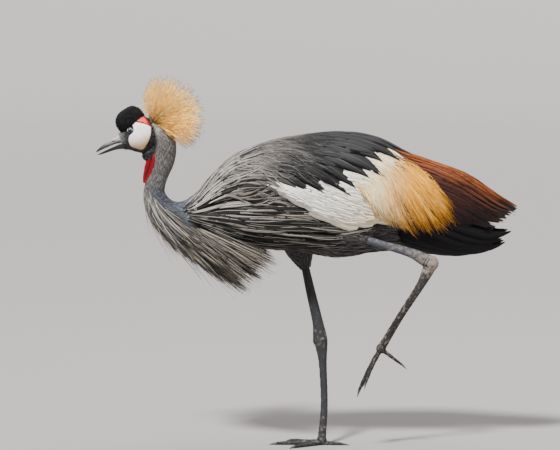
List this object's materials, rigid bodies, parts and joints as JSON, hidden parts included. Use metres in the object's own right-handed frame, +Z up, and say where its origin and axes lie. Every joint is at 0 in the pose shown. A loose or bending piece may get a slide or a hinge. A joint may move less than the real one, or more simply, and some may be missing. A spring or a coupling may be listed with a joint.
{
  "type": "grey crowned crane",
  "caption": "Life-size still model of a grey crowned crane wading: it stands on its right leg with the left foot lifted, wings folded.",
  "frame": {"origin": "on the floor, at the middle of the standing foot's sole", "axes": "+Z up; the bill points to -X and the bird's left side faces -Y"},
  "size_m": [0.8178, 0.2222, 0.7218],
  "materials": {
    "grey_feather": "soft",
    "hackle_feather": "soft",
    "slate_feather": "soft",
    "white_feather": "soft",
    "gold_feather": "soft",
    "chestnut_feather": "soft",
    "black_feather": "soft",
    "black_plush": "velvet",
    "crest_bristle": "satin",
    "red_skin": "satin",
    "white_skin": "matte",
    "leg_skin": "matte",
    "horn": "satin",
    "claw": "satin",
    "eye": "gloss"
  },
  "bodies": {
    "root": {"head": "grey_feather", "cap": "black_plush", "bill_upper": "horn", "bill_lower": "horn", "wattle": "red_skin", "crest": "crest_bristle", "neck_upper": "grey_feather", "neck_lower": "hackle_feather", "shoulder_left": "hackle_feather", "shoulder_right": "hackle_feather", "torso": "slate_feather", "tail": "black_feather", "eye_left": "eye", "cheek_left": "white_skin", "brow_left": "red_skin", "wing_left_slate": "slate_feather", "wing_left_white": "white_feather", "wing_left_gold": "gold_feather", "wing_left_chestnut": "chestnut_feather", "wing_left_black": "black_feather", "thigh_left": "black_feather", "tibia_left": "leg_skin", "tarsus_left": "leg_skin", "toe_left_inner": "leg_skin", "claw_left_inner": "claw", "toe_left_middle": "leg_skin", "claw_left_middle": "claw", "toe_left_outer": "leg_skin", "claw_left_outer": "claw", "toe_left_hind": "leg_skin", "claw_left_hind": "claw", "eye_right": "eye", "cheek_right": "white_skin", "brow_right": "red_skin", "wing_right_slate": "slate_feather", "wing_right_white": "white_feather", "wing_right_gold": "gold_feather", "wing_right_chestnut": "chestnut_feather", "wing_right_black": "black_feather", "thigh_right": "black_feather", "tibia_right": "leg_skin", "tarsus_right": "leg_skin", "toe_right_inner": "leg_skin", "claw_right_inner": "claw", "toe_right_middle": "leg_skin", "claw_right_middle": "claw", "toe_right_outer": "leg_skin", "claw_right_outer": "claw", "toe_right_hind": "leg_skin", "claw_right_hind": "claw"}
  },
  "joints": []
}
